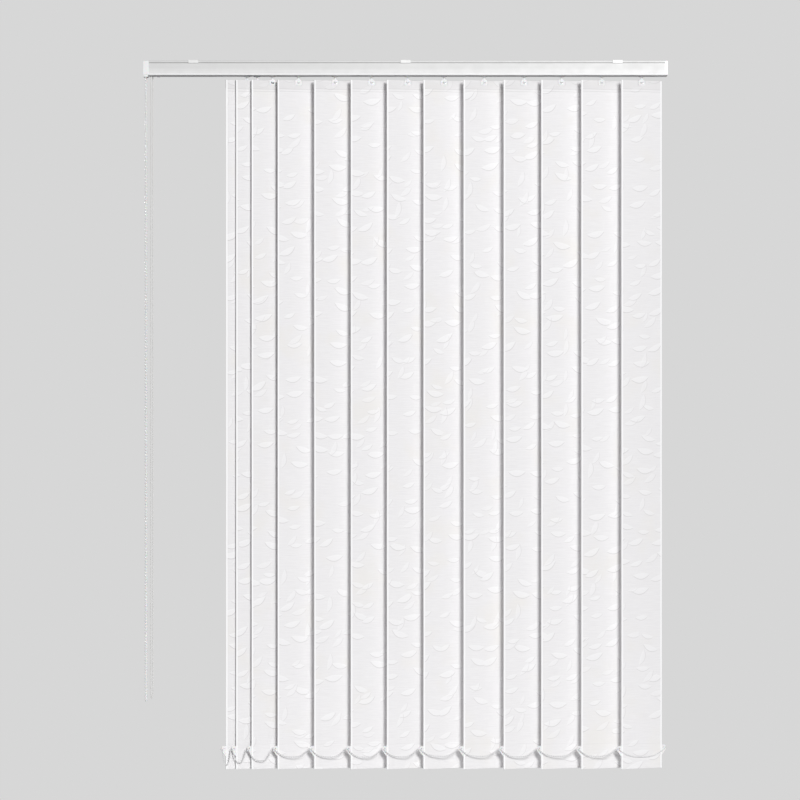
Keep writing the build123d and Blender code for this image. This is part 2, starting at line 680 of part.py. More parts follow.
# ---- traverse cord: from the leading truck, down, back up and round the return pulley -------
cord_bottom = rail_top - cord_drop + cord_d / 2
return_x = return_pulley_x + pulley_r
cord_points = [
    (truck_x[0] - loop_joint, -cord_y, cord_z),
    (front_strand_x, -cord_y, cord_z),
    (front_strand_x, -cord_y, cord_bottom + 60),
    (front_strand_x, -cord_y - 2, cord_bottom + 12),
    (front_strand_x + 1, -cord_y + 3, cord_bottom),
    (rear_strand_x - 1, cord_y - 3, cord_bottom),
    (rear_strand_x, cord_y + 2, cord_bottom + 12),
    (rear_strand_x, cord_y, cord_bottom + 60),
    (rear_strand_x, cord_y, cord_z),
    (return_x, cord_y, cord_z),
    (return_x, -cord_y, cord_z),
    (truck_x[0], -cord_y, cord_z),
]
round_pulley = pulley_r - 0.02
cord_arcs = [round_pulley] + cord_radii(cord_points[1:9]) + 3 * [round_pulley]
cord_tube("traverse_cord", cord_points, cord_arcs, cord_d)
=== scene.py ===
"""A vertical blind with thirteen fabric slats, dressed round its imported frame.

Metres, +Z up, X along the headrail and -Y the room side, with the origin on the ceiling plane.
"""
import bmesh
import bpy
import math
import numpy as np
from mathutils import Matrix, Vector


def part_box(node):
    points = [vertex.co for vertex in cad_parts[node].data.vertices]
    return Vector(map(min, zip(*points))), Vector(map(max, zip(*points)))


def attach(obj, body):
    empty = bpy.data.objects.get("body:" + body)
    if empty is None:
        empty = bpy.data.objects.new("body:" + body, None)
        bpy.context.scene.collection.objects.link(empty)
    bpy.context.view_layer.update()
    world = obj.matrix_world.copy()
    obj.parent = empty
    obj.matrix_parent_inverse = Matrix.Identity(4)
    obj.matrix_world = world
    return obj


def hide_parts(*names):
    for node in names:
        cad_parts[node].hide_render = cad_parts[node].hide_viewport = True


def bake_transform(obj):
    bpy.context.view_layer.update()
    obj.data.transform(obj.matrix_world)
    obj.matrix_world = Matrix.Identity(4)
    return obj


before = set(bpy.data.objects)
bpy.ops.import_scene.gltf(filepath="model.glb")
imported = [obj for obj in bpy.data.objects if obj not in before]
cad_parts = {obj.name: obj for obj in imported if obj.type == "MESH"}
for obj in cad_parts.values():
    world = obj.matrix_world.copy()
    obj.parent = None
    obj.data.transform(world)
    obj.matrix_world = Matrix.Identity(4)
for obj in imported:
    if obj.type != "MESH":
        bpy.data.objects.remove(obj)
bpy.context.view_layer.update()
scene = bpy.context.scene
mm = 0.001

# ---- camera: level, square to the headrail, through a long lens -----------------------------
VIEW_WIDTH = 1.6
CAMERA_DISTANCE = 7.0
SENSOR = 36.0
camera_data = bpy.data.cameras.new("camera")
camera_data.sensor_width = SENSOR
camera_data.lens = SENSOR * CAMERA_DISTANCE / VIEW_WIDTH
camera_data.clip_end = 60.0
camera = bpy.data.objects.new("camera", camera_data)
camera.location = (-0.011, -CAMERA_DISTANCE, -0.6785)
camera.rotation_euler = (math.pi / 2, 0, 0)
scene.collection.objects.link(camera)
scene.camera = camera
scene.view_settings.view_transform = "Standard"

# ---- places that the pieces share with the frame --------------------------------------------
SLATS = 13
TILT = math.radians(21.0)
SLAT_WIDTH = 89.0 * mm
SLAT_TOP = -39.5 * mm
EAR_HOLE_Z = -1373.85 * mm
EAR_TIP = 53.5 * mm
CLOTH = 0.45 * mm
# a slat's pockets reach further back than forward, so its box leans off the truck by this
BOX_OFFSET = 0.3 * mm
truck_x = []
for number in range(1, SLATS + 1):
    ring_low, ring_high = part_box(f"slat_{number:02d}")
    truck_x.append((ring_low.x + ring_high.x) / 2 + BOX_OFFSET * math.sin(TILT))


# ---- mesh helpers ---------------------------------------------------------------------------
def mesh_object(name, points, faces, smooth=True):
    """A mesh object at the origin from an array of points and a list of face corner arrays."""
    mesh = bpy.data.meshes.new(name)
    mesh.from_pydata(points.reshape(-1, 3).tolist(), [], [f for group in faces for f in group.tolist()])
    mesh.polygons.foreach_set("use_smooth", np.full(len(mesh.polygons), smooth))
    mesh.update()
    obj = bpy.data.objects.new(name, mesh)
    scene.collection.objects.link(obj)
    return obj


def grid_faces(rows, columns, wrap=False):
    """Quads of a grid whose points run row by row; with wrap the last column joins the first."""
    row = np.arange(rows - 1)[:, None]
    column = np.arange(columns if wrap else columns - 1)[None, :]
    after = (column + 1) % columns
    corners = [
        row * columns + column,
        row * columns + after,
        (row + 1) * columns + after,
        (row + 1) * columns + column,
    ]
    return np.stack(np.broadcast_arrays(*corners), axis=-1).reshape(-1, 4)


def add_uv(obj, name, u, v):
    """A UV map from one u and one v for each vertex."""
    loops = np.zeros(len(obj.data.loops), np.int64)
    obj.data.loops.foreach_get("vertex_index", loops)
    layer = obj.data.uv_layers.new(name=name)
    layer.data.foreach_set("uv", np.stack([u[loops], v[loops]], axis=-1).astype(np.float32).ravel())


def route_line(name, points):
    """The line of a NURBS spline of order 3 with the route's points as its control points."""
    curve = bpy.data.curves.new(name, "CURVE")
    curve.dimensions = "3D"
    spline = curve.splines.new("NURBS")
    spline.points.add(len(points) - 1)
    for control, point in zip(spline.points, points):
        control.co = (*point, 1.0)
    spline.order_u = 3
    spline.use_endpoint_u = True
    spline.resolution_u = 32
    holder = bpy.data.objects.new(name, curve)
    scene.collection.objects.link(holder)
    bpy.context.view_layer.update()
    line = bpy.data.meshes.new_from_object(holder)
    co = np.zeros(len(line.vertices) * 3)
    line.vertices.foreach_get("co", co)
    bpy.data.objects.remove(holder)
    bpy.data.meshes.remove(line)
    bpy.data.curves.remove(curve)
    return co.reshape(-1, 3)


def along(line, step):
    """Points, tangents and distances at even steps of arc length along a line."""
    runs = np.linalg.norm(np.diff(line, axis=0), axis=1)
    travelled = np.concatenate([[0.0], np.cumsum(runs)])
    stations = np.linspace(0.0, travelled[-1], max(3, round(travelled[-1] / step) + 1))
    points = np.stack([np.interp(stations, travelled, line[:, k]) for k in range(3)], axis=-1)
    tangents = np.gradient(points, stations, axis=0)
    return points, tangents / np.linalg.norm(tangents, axis=1, keepdims=True), stations


def crossways(tangents, steady):
    """Two unit vectors square to each tangent, the first square to a steady direction as well."""
    side = np.cross(tangents, steady)
    side /= np.linalg.norm(side, axis=1, keepdims=True)
    return side, np.cross(tangents, side)


def tube(points, tangents, steady, radius, sides):
    """Rings round a line: point + radius(ring, angle) * (cos(angle) side + sin(angle) up), ends closed.

    Returns the points and faces, with radius a number or one value for each ring and side.
    """
    side, up = crossways(tangents, steady)
    angle = np.linspace(0.0, 2 * math.pi, sides, endpoint=False)
    radius = np.broadcast_to(radius, (len(points), sides))[..., None]
    ring = np.cos(angle)[None, :, None] * side[:, None, :] + np.sin(angle)[None, :, None] * up[:, None, :]
    rings = points[:, None, :] + radius * ring
    count = len(points)
    walls = grid_faces(count, sides, wrap=True)
    caps = np.array([np.arange(sides)[::-1], (count - 1) * sides + np.arange(sides)])
    return rings.reshape(-1, 3), [walls, caps]


def beads(centres, tangents, steady, radius, segments=8, bands=5):
    """Spheres threaded on a line: centre + r (sin(a) (cos(b) side + sin(b) up) + cos(a) tangent)."""
    side, up = crossways(tangents, steady)
    a = np.linspace(0.0, math.pi, bands + 1)[1:-1]
    b = np.linspace(0.0, 2 * math.pi, segments, endpoint=False)
    out, ahead = np.sin(a)[:, None], np.cos(a)[:, None]
    local = np.stack(np.broadcast_arrays(out * np.cos(b), out * np.sin(b), ahead), axis=-1).reshape(-1, 3)
    local = radius * np.concatenate([[(0, 0, 1)], local, [(0, 0, -1)]])
    basis = np.stack([side, up, tangents], axis=1)
    points = centres[:, None, :] + np.einsum("pk,nkj->npj", local, basis)
    ring = np.arange(segments)
    after = (ring + 1) % segments
    last = 1 + (bands - 2) * segments
    top = np.stack([np.zeros(segments, int), 1 + ring, 1 + after], axis=-1)
    bottom = np.stack([np.full(segments, last + segments), last + after, last + ring], axis=-1)
    middle = grid_faces(bands - 1, segments, wrap=True)[:, ::-1] + 1
    shift = (np.arange(len(centres)) * len(local))[:, None, None]
    return points.reshape(-1, 3), [(f[None] + shift).reshape(-1, f.shape[1]) for f in (top, middle, bottom)]


def outward(obj):
    """Turns every face of a closed mesh to point outwards."""
    work = bmesh.new()
    work.from_mesh(obj.data)
    bmesh.ops.recalc_face_normals(work, faces=work.faces)
    work.to_mesh(obj.data)
    work.free()
    return obj


def bead_chain(name, route, steady, bead_d, pitch, thread_d):
    """Beads at even steps on a thin thread, both along the route's line, in one mesh."""
    line = route_line(name, route)
    centres, tangents, _ = along(line, pitch)
    inner = slice(1, -1)
    ball_points, ball_faces = beads(centres[inner], tangents[inner], steady, bead_d / 2)
    path, path_tangents, _ = along(line, pitch / 2)
    thread_points, thread_faces = tube(path, path_tangents, steady, thread_d / 2, 6)
    shifted = [f + len(ball_points) for f in thread_faces]
    points = np.concatenate([ball_points, thread_points])
    return outward(mesh_object(name, points, ball_faces + shifted)), path


# ---- materials ------------------------------------------------------------------------------
class Nodes:
    """Short calls for adding and joining the nodes of one tree."""

    def __init__(self, tree):
        self.tree = tree

    def add(self, kind, inputs=(), **settings):
        """A node with its settings; each input is (socket, value or the output that feeds it)."""
        node = self.tree.nodes.new(kind)
        for key, value in settings.items():
            setattr(node, key, value)
        for socket, value in dict(inputs).items():
            self.feed(node, socket, value)
        return node

    def feed(self, node, socket, value):
        if isinstance(value, bpy.types.NodeSocket):
            self.tree.links.new(value, node.inputs[socket])
        elif value is not None:
            node.inputs[socket].default_value = value

    def math(self, operation, a, b=None, clamp=False):
        node = self.add("ShaderNodeMath", {0: a, 1: b}, operation=operation, use_clamp=clamp)
        return node.outputs[0]

    def vector(self, operation, a, b=None):
        node = self.add("ShaderNodeVectorMath", {0: a, 1: b}, operation=operation)
        return node.outputs["Value" if operation in ("LENGTH", "DOT_PRODUCT") else "Vector"]

    def ramp(self, value, low, high, to_low=0.0, to_high=1.0):
        """A smooth step of value between low and high."""
        inputs = {"Value": value, "From Min": low, "From Max": high, "To Min": to_low, "To Max": to_high}
        return self.add("ShaderNodeMapRange", inputs, interpolation_type="SMOOTHSTEP").outputs["Result"]

    def noise(self, vector, scale, detail=3.0, roughness=0.5):
        inputs = {"Vector": vector, "Scale": scale, "Detail": detail, "Roughness": roughness}
        return self.add("ShaderNodeTexNoise", inputs).outputs["Fac"]

    def mix(self, factor, a, b, blend="MIX"):
        node = self.add("ShaderNodeMix", {0: factor, 6: a, 7: b}, data_type="RGBA", blend_type=blend)
        return node.outputs[2]

    def bump(self, height, strength, distance, normal=None):
        inputs = {"Height": height, "Strength": strength, "Distance": distance, "Normal": normal}
        return self.add("ShaderNodeBump", inputs).outputs["Normal"]

    def stretched(self, vector, scale):
        """The vector scaled by its own factor along each axis."""
        return self.add("ShaderNodeMapping", {"Vector": vector, "Scale": scale}).outputs["Vector"]


def new_group(name, inputs, outputs):
    """An empty shader group with (name, kind, default) inputs and (name, kind) outputs."""
    group = bpy.data.node_groups.new(name, "ShaderNodeTree")
    for label, kind, default in inputs:
        socket = group.interface.new_socket(label, in_out="INPUT", socket_type=kind)
        if default is not None:
            socket.default_value = default
    for label, kind in outputs:
        group.interface.new_socket(label, in_out="OUTPUT", socket_type=kind)
    nodes = Nodes(group)
    return group, nodes, nodes.add("NodeGroupInput"), nodes.add("NodeGroupOutput")


FLOAT, COLOUR, VECTOR = "NodeSocketFloat", "NodeSocketColor", "NodeSocketVector"


def moulded_skin():
    """Mottled colour, uneven gloss, a fine spark-eroded grain, rounded corners lightened by wear and a
    painted highlight, and dust in one.
    """
    group, n, ins, outs = new_group(
        "moulded_skin",
        [
            ("Vector", VECTOR, None),
            ("Colour", COLOUR, (0.8, 0.8, 0.8, 1)),
            ("Shade", COLOUR, (0.6, 0.6, 0.6, 1)),
            ("Worn And Highlight", COLOUR, (0.9, 0.9, 0.9, 1)),
            ("Roughness", FLOAT, 0.4),
            ("Grain Scale", FLOAT, 2500.0),
            ("Grain Height", FLOAT, 0.00002),
            ("Corner", FLOAT, 0.0004),
        ],
        [("Colour", COLOUR), ("Roughness", FLOAT), ("Normal", VECTOR)],
    )
    place = ins.outputs["Vector"]
    cloudy = n.noise(place, 45.0, 4.0, 0.6)
    fine = n.noise(place, ins.outputs["Grain Scale"], 2.0, 0.6)
    dust = n.ramp(n.noise(place, 260.0, 5.0, 0.7), 0.60, 0.78)
    rounded = n.add("ShaderNodeBevel", {"Radius": ins.outputs["Corner"]}, samples=4).outputs["Normal"]
    flat = n.add("ShaderNodeNewGeometry").outputs["Normal"]
    edge = n.ramp(n.vector("DOT_PRODUCT", rounded, flat), 0.995, 0.90)
    base = n.mix(n.ramp(cloudy, 0.35, 0.70), ins.outputs["Colour"], ins.outputs["Shade"])
    # the rounded corners turn lighter, part wear and part painted highlight
    base = n.mix(n.math("MULTIPLY", edge, 0.5), base, ins.outputs["Worn And Highlight"])
    base = n.mix(n.math("MULTIPLY", dust, 0.10), base, (0.62, 0.60, 0.57, 1))
    n.feed(outs, "Colour", base)
    patchy = n.math("MULTIPLY", n.math("SUBTRACT", cloudy, 0.5), 0.18)
    uneven = n.math("ADD", ins.outputs["Roughness"], patchy)
    n.feed(outs, "Roughness", n.math("ADD", uneven, n.math("MULTIPLY", dust, 0.12), clamp=True))
    n.feed(outs, "Normal", n.bump(fine, 0.35, ins.outputs["Grain Height"], rounded))
    return group


def drawn_lines():
    """Fine die lines along X, as an extrusion or a drawn rod has: noise stretched far along X."""
    group, n, ins, outs = new_group(
        "drawn_lines",
        [("Vector", VECTOR, None), ("Spacing", FLOAT, 900.0), ("Normal", VECTOR, None)],
        [("Lines", FLOAT), ("Normal", VECTOR)],
    )
    drawn = n.stretched(ins.outputs["Vector"], (0.004, 1.0, 1.0))
    lines = n.noise(drawn, ins.outputs["Spacing"], 3.0, 0.65)
    n.feed(outs, "Lines", lines)
    n.feed(outs, "Normal", n.bump(lines, 0.25, 0.00002, ins.outputs["Normal"]))
    return group


def leaf_scatter():
    """Leaves strewn over a cloth, one for each Voronoi cell.

    In the cell's own turned axes a leaf is where |y - c x^2| / w + (x / l)^2 is under 1: a pointed
    oval bent like a boat. Under and Over are thin bands along its lower and upper outline, which carry
    the raised leaf's painted shade and painted highlight, and Vein is its midrib.
    """
    group, n, ins, outs = new_group(
        "leaf_scatter",
        [
            ("Vector", VECTOR, None),
            ("Scale", FLOAT, 20.0),
            ("Length", FLOAT, 0.016),
            ("Width", FLOAT, 0.006),
            ("Bend", FLOAT, 9.0),
            ("Turn", FLOAT, 1.2),
            ("Lean", FLOAT, 0.0),
            ("Share", FLOAT, 0.8),
        ],
        [("Leaf", FLOAT), ("Under", FLOAT), ("Over", FLOAT), ("Vein", FLOAT)],
    )
    squeezed = n.vector("MULTIPLY", ins.outputs["Vector"], (1.0, 1.35, 0.0))
    cells = n.add(
        "ShaderNodeTexVoronoi",
        {"Vector": squeezed, "Scale": ins.outputs["Scale"], "Randomness": 0.78},
        voronoi_dimensions="2D",
    )
    away = n.vector("MULTIPLY", n.vector("SUBTRACT", squeezed, cells.outputs["Position"]), (1.0, 0.74, 0.0))
    pick = n.add("ShaderNodeSeparateColor", {"Color": cells.outputs["Color"]})
    swing = n.math("MULTIPLY", n.math("SUBTRACT", pick.outputs[0], 0.5), ins.outputs["Turn"])
    turned = n.add(
        "ShaderNodeVectorRotate",
        {"Vector": away, "Angle": n.math("ADD", swing, ins.outputs["Lean"])},
        rotation_type="Z_AXIS",
    )
    part = n.add("ShaderNodeSeparateXYZ", {"Vector": turned.outputs["Vector"]})
    x, y = part.outputs[0], part.outputs[1]
    size = n.ramp(pick.outputs[1], 0.0, 1.0, 0.75, 1.15)
    reach = n.math("DIVIDE", x, n.math("MULTIPLY", ins.outputs["Length"], size))
    bent = n.math("SUBTRACT", y, n.math("MULTIPLY", ins.outputs["Bend"], n.math("MULTIPLY", x, x)))
    across = n.math("DIVIDE", bent, n.math("MULTIPLY", ins.outputs["Width"], size))
    form = n.math("ADD", n.math("ABSOLUTE", across), n.math("MULTIPLY", reach, reach))
    shown = n.math("LESS_THAN", pick.outputs[2], ins.outputs["Share"])
    leaf = n.math("MULTIPLY", n.ramp(form, 1.05, 0.90), shown)
    rim = n.math("MULTIPLY", n.ramp(n.math("ABSOLUTE", n.math("SUBTRACT", form, 1.0)), 0.20, 0.05), shown)
    below = n.ramp(across, 0.15, -0.25)
    vein = n.math("MULTIPLY", n.ramp(n.math("ABSOLUTE", across), 0.11, 0.03), leaf)
    n.feed(outs, "Leaf", leaf)
    n.feed(outs, "Under", n.math("MULTIPLY", rim, below))
    n.feed(outs, "Over", n.math("MULTIPLY", rim, n.math("SUBTRACT", 1.0, below)))
    n.feed(outs, "Vein", vein)
    return group


def plain_weave():
    """Warp and weft as crossed sine ridges, with thicker slub threads running across at random."""
    group, n, ins, outs = new_group(
        "plain_weave",
        [("Vector", VECTOR, None), ("Threads", FLOAT, 1900.0)],
        [("Height", FLOAT), ("Slub", FLOAT)],
    )
    part = n.add("ShaderNodeSeparateXYZ", {"Vector": ins.outputs["Vector"]})
    turns = n.math("MULTIPLY", ins.outputs["Threads"], math.pi)
    warp = n.math("SINE", n.math("MULTIPLY", part.outputs[0], turns))
    weft = n.math("SINE", n.math("MULTIPLY", part.outputs[1], turns))
    slub = n.noise(n.stretched(ins.outputs["Vector"], (0.05, 1.0, 1.0)), 620.0, 4.0, 0.7)
    threads = n.math("MULTIPLY", warp, weft)
    n.feed(outs, "Height", n.math("ADD", n.math("MULTIPLY", threads, 0.25), n.math("MULTIPLY", slub, 1.6)))
    n.feed(outs, "Slub", slub)
    return group


SKIN = moulded_skin()
LINES = drawn_lines()
LEAVES = leaf_scatter()
WEAVE = plain_weave()


def new_material(name):
    """A material with its nodes helper and its Principled shader."""
    material = bpy.data.materials.new(name)
    material.use_nodes = True
    return material, Nodes(material.node_tree), material.node_tree.nodes["Principled BSDF"]


def moulded(name, colour, shade, worn, roughness, grain=2500.0, height=0.00002, corner=0.0004, **constants):
    """A moulded, painted or pressed finish; the constants go on the shader's own sockets."""
    material, n, shader = new_material(name)
    place = n.add("ShaderNodeTexCoord").outputs["Object"]
    inputs = {
        "Vector": place,
        "Colour": (*colour, 1),
        "Shade": (*shade, 1),
        "Worn And Highlight": (*worn, 1),
        "Roughness": roughness,
        "Grain Scale": grain,
        "Grain Height": height,
        "Corner": corner,
    }
    skin = n.add("ShaderNodeGroup", node_tree=SKIN)
    for socket, value in inputs.items():
        n.feed(skin, socket, value)
    n.feed(shader, "Base Color", skin.outputs["Colour"])
    n.feed(shader, "Roughness", skin.outputs["Roughness"])
    n.feed(shader, "Normal", skin.outputs["Normal"])
    for socket, value in constants.items():
        shader.inputs[socket.replace("_", " ")].default_value = value
    return material, n, shader, skin


def drawn(name, spacing, tint, bands=(), **finish):
    """A moulded finish with die lines over it, whose hollows are painted a little darker as painted shade.

    Each band is (low, high, softness, tone, amount): between those heights the colour turns to the tone.
    """
    material, n, shader, skin = moulded(name, **finish)
    place = n.add("ShaderNodeTexCoord").outputs["Object"]
    lines = n.add("ShaderNodeGroup", node_tree=LINES)
    n.feed(lines, "Vector", place)
    n.feed(lines, "Spacing", spacing)
    n.feed(lines, "Normal", skin.outputs["Normal"])
    # painted shade in the hollows of the die lines
    shadow = n.math("MULTIPLY", n.ramp(lines.outputs["Lines"], 0.55, 0.25), 0.35)
    colour = n.mix(shadow, skin.outputs["Colour"], (*tint, 1))
    height = n.add("ShaderNodeSeparateXYZ", {"Vector": place}).outputs[2]
    # darker bands paint shade and lighter bands paint a highlight into the colour between their heights
    for low, high, soft, tone, amount in bands:
        inside = n.math("MULTIPLY", n.ramp(height, low - soft, low), n.ramp(height, high + soft, high))
        colour = n.mix(n.math("MULTIPLY", inside, amount), colour, (*tone, 1))
    n.feed(shader, "Base Color", colour)
    n.feed(shader, "Normal", lines.outputs["Normal"])
    return material


def slat_cloth():
    """Off-white jacquard: leaves woven tone on tone over a slubbed ground, with painted shade and highlight
    round the leaves and a painted highlight along the sealed edges.
    """
    material, n, shader = new_material("slat_cloth")
    place = n.add("ShaderNodeUVMap", uv_map="cloth").outputs["UV"]
    weave = n.add("ShaderNodeGroup", node_tree=WEAVE)
    n.feed(weave, "Vector", place)
    layers = []
    for shift, scale, turn, lean, length, width, share in (
        ((0.0, 0.0, 0.0), 21.0, 0.9, -0.05, 0.0170, 0.0054, 0.86),
        ((3.17, 1.43, 0.0), 19.0, 1.3, -0.80, 0.0150, 0.0045, 0.55),
    ):
        leaves = n.add("ShaderNodeGroup", node_tree=LEAVES)
        n.feed(leaves, "Vector", n.vector("ADD", place, shift))
        n.feed(leaves, "Scale", scale)
        n.feed(leaves, "Turn", turn)
        n.feed(leaves, "Lean", lean)
        n.feed(leaves, "Length", length)
        n.feed(leaves, "Width", width)
        n.feed(leaves, "Share", share)
        layers.append(leaves)
    leaf, under, over, vein = [
        n.math("MAXIMUM", layers[0].outputs[part], n.math("MULTIPLY", layers[1].outputs[part], 0.7))
        for part in ("Leaf", "Under", "Over", "Vein")
    ]
    warm = n.ramp(n.noise(place, 9.0, 3.0, 0.55), 0.50, 0.72)
    slub = n.ramp(weave.outputs["Slub"], 0.30, 0.72)
    ground = n.mix(slub, (0.830, 0.820, 0.825, 1), (0.880, 0.872, 0.876, 1))
    ground = n.mix(n.math("MULTIPLY", warm, 0.55), ground, (0.845, 0.825, 0.790, 1))
    colour = n.mix(n.math("MULTIPLY", leaf, 0.50), ground, (0.935, 0.930, 0.935, 1))
    # each leaf's upper rim is a painted highlight and its lower rim painted shade, as if lit from above
    colour = n.mix(n.math("MULTIPLY", over, 0.40), colour, (0.97, 0.97, 0.97, 1))
    colour = n.mix(n.math("MULTIPLY", under, 0.55), colour, (0.60, 0.585, 0.585, 1))
    edge = n.add("ShaderNodeAttribute", attribute_name="sealed_edge_highlight").outputs["Fac"]
    seam = n.add("ShaderNodeAttribute", attribute_name="welded_seam").outputs["Fac"]
    pocket = n.add("ShaderNodeAttribute", attribute_name="pocket").outputs["Fac"]
    colour = n.mix(n.math("MULTIPLY", pocket, 0.45), colour, (0.70, 0.69, 0.69, 1))
    colour = n.mix(n.math("MULTIPLY", seam, 0.60), colour, (0.60, 0.59, 0.59, 1))
    # the sealed edges are painted almost white, a painted highlight
    colour = n.mix(n.ramp(edge, 0.2, 0.8), colour, (0.99, 0.99, 0.99, 1))
    n.feed(shader, "Base Color", colour)
    dull = n.ramp(leaf, 0.0, 1.0, 0.86, 0.62)
    n.feed(shader, "Roughness", n.math("SUBTRACT", dull, n.math("MULTIPLY", edge, 0.15)))
    raised = n.math("SUBTRACT", n.math("MULTIPLY", leaf, 3.2), n.math("MULTIPLY", vein, 1.2))
    n.feed(shader, "Normal", n.bump(n.math("ADD", raised, weave.outputs["Height"]), 0.55, 0.00009))
    shader.inputs["Sheen Weight"].default_value = 0.25
    shader.inputs["Sheen Roughness"].default_value = 0.45
    shader.inputs["Specular IOR Level"].default_value = 0.35
    return material


def braided_cord():
    """Braided polyester: two sets of strands crossing along the cord's own UV map."""
    material, n, shader = new_material("traverse_cord_braid")
    place = n.add("ShaderNodeUVMap", uv_map="cord").outputs["UV"]
    part = n.add("ShaderNodeSeparateXYZ", {"Vector": place})
    around = n.math("MULTIPLY", part.outputs[0], 8 * math.pi)
    run = n.math("MULTIPLY", part.outputs[1], 2400.0)
    left = n.math("SINE", n.math("ADD", around, run))
    right = n.math("SINE", n.math("SUBTRACT", around, run))
    strands = n.math("MAXIMUM", left, right)
    fibre = n.noise(n.stretched(place, (30.0, 900.0, 1.0)), 3.0, 4.0, 0.6)
    # painted shade in the hollows between the strands
    hollow_shade = n.ramp(strands, 0.75, 0.05)
    colour = n.mix(fibre, (0.80, 0.79, 0.77, 1), (0.90, 0.90, 0.89, 1))
    n.feed(shader, "Base Color", n.mix(n.math("MULTIPLY", hollow_shade, 0.6), colour, (0.52, 0.51, 0.49, 1)))
    n.feed(shader, "Roughness", n.ramp(fibre, 0.2, 0.8, 0.60, 0.82))
    n.feed(shader, "Normal", n.bump(n.math("ADD", strands, n.math("MULTIPLY", fibre, 0.4)), 0.6, 0.00012))
    shader.inputs["Sheen Weight"].default_value = 0.3
    return material


# painted shade darkens the lip and the upper face and fades down it, painted shade fills the groove and a
# painted highlight lightens the foot
RAIL_SHADE_AND_HIGHLIGHT_BANDS = (
    (-15.0 * mm, 1.0 * mm, 9.0 * mm, (0.62, 0.62, 0.61), 0.50),
    (-6.9 * mm, -5.1 * mm, 0.3 * mm, (0.42, 0.42, 0.41), 0.65),
    (-31.0 * mm, -27.6 * mm, 0.5 * mm, (0.96, 0.96, 0.96), 0.85),
)
finishes = {
    "rail_paint": drawn(
        "rail_paint", 700.0, (0.64, 0.64, 0.63), RAIL_SHADE_AND_HIGHLIGHT_BANDS, colour=(0.79, 0.79, 0.785),
        shade=(0.75, 0.75, 0.745), worn=(0.88, 0.88, 0.88), roughness=0.42, grain=1400.0, height=0.00003,
        corner=0.0006, Coat_Weight=0.1, Coat_Roughness=0.4,
    ),
    "bracket_steel": drawn(
        "bracket_steel", 500.0, (0.70, 0.70, 0.69), colour=(0.88, 0.88, 0.87), shade=(0.82, 0.82, 0.81),
        worn=(0.94, 0.94, 0.94), roughness=0.36, grain=900.0, height=0.00004, corner=0.0004, Coat_Weight=0.2,
    ),
    "end_fitting_plastic": moulded(
        "end_fitting_plastic", (0.93, 0.93, 0.93), (0.88, 0.88, 0.88), (0.98, 0.98, 0.98), 0.33,
        Subsurface_Weight=0.08, Subsurface_Scale=0.002, Specular_IOR_Level=0.5,
    )[0],
    "rod_aluminium": drawn(
        "rod_aluminium", 1100.0, (0.45, 0.46, 0.48), colour=(0.80, 0.81, 0.82), shade=(0.70, 0.71, 0.73),
        worn=(0.92, 0.92, 0.92), roughness=0.28, grain=2200.0, height=0.00001, corner=0.0002, Metallic=1.0,
    ),
    "tilt_chain_plastic": moulded(
        "tilt_chain_plastic", (0.90, 0.90, 0.89), (0.84, 0.84, 0.83), (0.96, 0.96, 0.96), 0.30,
        grain=3200.0, corner=0.0002, Subsurface_Weight=0.12, Subsurface_Scale=0.002,
    )[0],
    "truck_plastic": moulded(
        "truck_plastic", (0.86, 0.86, 0.85), (0.78, 0.78, 0.77), (0.93, 0.93, 0.92), 0.42, grain=1800.0,
    )[0],
    "hook_plastic": moulded(
        "hook_plastic", (0.90, 0.90, 0.90), (0.83, 0.84, 0.84), (0.97, 0.97, 0.97), 0.30,
        grain=2800.0, corner=0.0003, Subsurface_Weight=0.10, Subsurface_Scale=0.002,
    )[0],
    "bead_chain_plastic": moulded(
        "bead_chain_plastic", (0.80, 0.80, 0.80), (0.70, 0.70, 0.70), (0.90, 0.90, 0.90), 0.34,
        grain=3200.0, corner=0.0001,
    )[0],
    "slat_cloth": slat_cloth(),
    "traverse_cord_braid": braided_cord(),
}


def finish_with(obj, slot):
    """Gives a new piece its material."""
    obj.data.materials.append(finishes[slot])


HARD_FINISH = {
    "headrail": "rail_paint",
    "top_brackets": "bracket_steel",
    "control_end_housing": "end_fitting_plastic",
    "return_end_cap": "end_fitting_plastic",
    "tilt_drive": "rod_aluminium",
    "chain_end_clip": "bead_chain_plastic",
}
for number in range(1, SLATS + 1):
    HARD_FINISH[f"truck_{number:02d}"] = "truck_plastic"
    HARD_FINISH[f"hook_and_weight_{number:02d}"] = "hook_plastic"
for node, finish in HARD_FINISH.items():
    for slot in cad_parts[node].material_slots:
        slot.material = finishes[finish]

# ---- bottom chain: one hanging span from each slat's ear to the next -------------------------
BEAD_D = 2.8 * mm
BEAD_PITCH = 4.4 * mm
BEAD_THREAD = 1.1 * mm
SPAN_JOINT = 3.2 * mm
# each span's points as a share of its width and of its sag
SPAN_ROUTE = np.array([(0.0, 0.0), (0.10, -0.48), (0.30, -1.00), (0.70, -1.04), (0.90, -0.50), (1.0, 0.0)])
# sags in mm, from the leading slat to the stack
SPAN_SAGS = [31.0, 27.0, 23.5, 16.0, 16.0, 16.5, 16.0, 15.0, 15.0, 16.0, 15.0, 15.0]
LAST_SAG = 18.0 * mm
LAST_END_GAP = 1.0 * mm
LAST_FORWARD = -2.85 * mm
